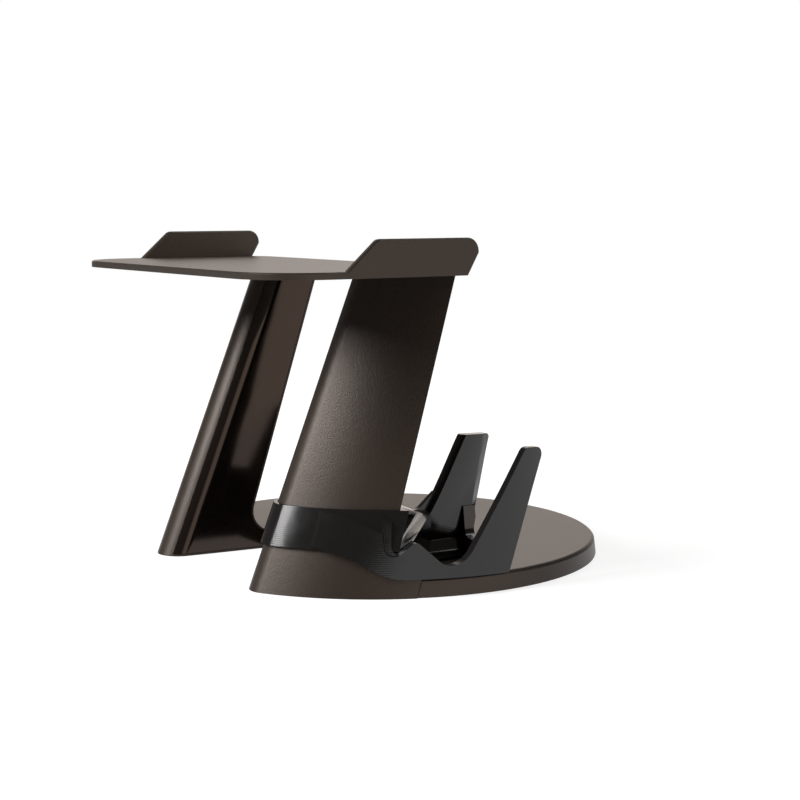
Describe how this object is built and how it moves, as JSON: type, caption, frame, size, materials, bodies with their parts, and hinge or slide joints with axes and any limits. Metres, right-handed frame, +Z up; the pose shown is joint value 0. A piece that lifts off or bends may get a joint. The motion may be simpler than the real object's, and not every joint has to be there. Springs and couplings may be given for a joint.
{
  "type": "vr headset stand",
  "caption": "Low stand with a round base, leaning legs, a tray that holds a headset and a clip-on cradle for hand controllers.",
  "frame": {"origin": "centre of the round base's arc, on the underside that rests on the table", "axes": "+Z up, +X towards the leg that carries the controller bracket, +Y to the back; the tray and the notch face -Y"},
  "size_m": [0.1521, 0.1569, 0.1088],
  "materials": {
    "grained_black": "fine grained matte",
    "polished_black": "polished",
    "layered_gloss_black": "gloss with faint level layer lines"
  },
  "bodies": {
    "root": {"base_plate": "grained_black", "right_leg": "grained_black", "left_leg": "grained_black", "headset_tray": "grained_black", "right_inner_panel": "polished_black", "left_inner_panel": "polished_black", "controller_bracket": "layered_gloss_black"}
  },
  "joints": []
}
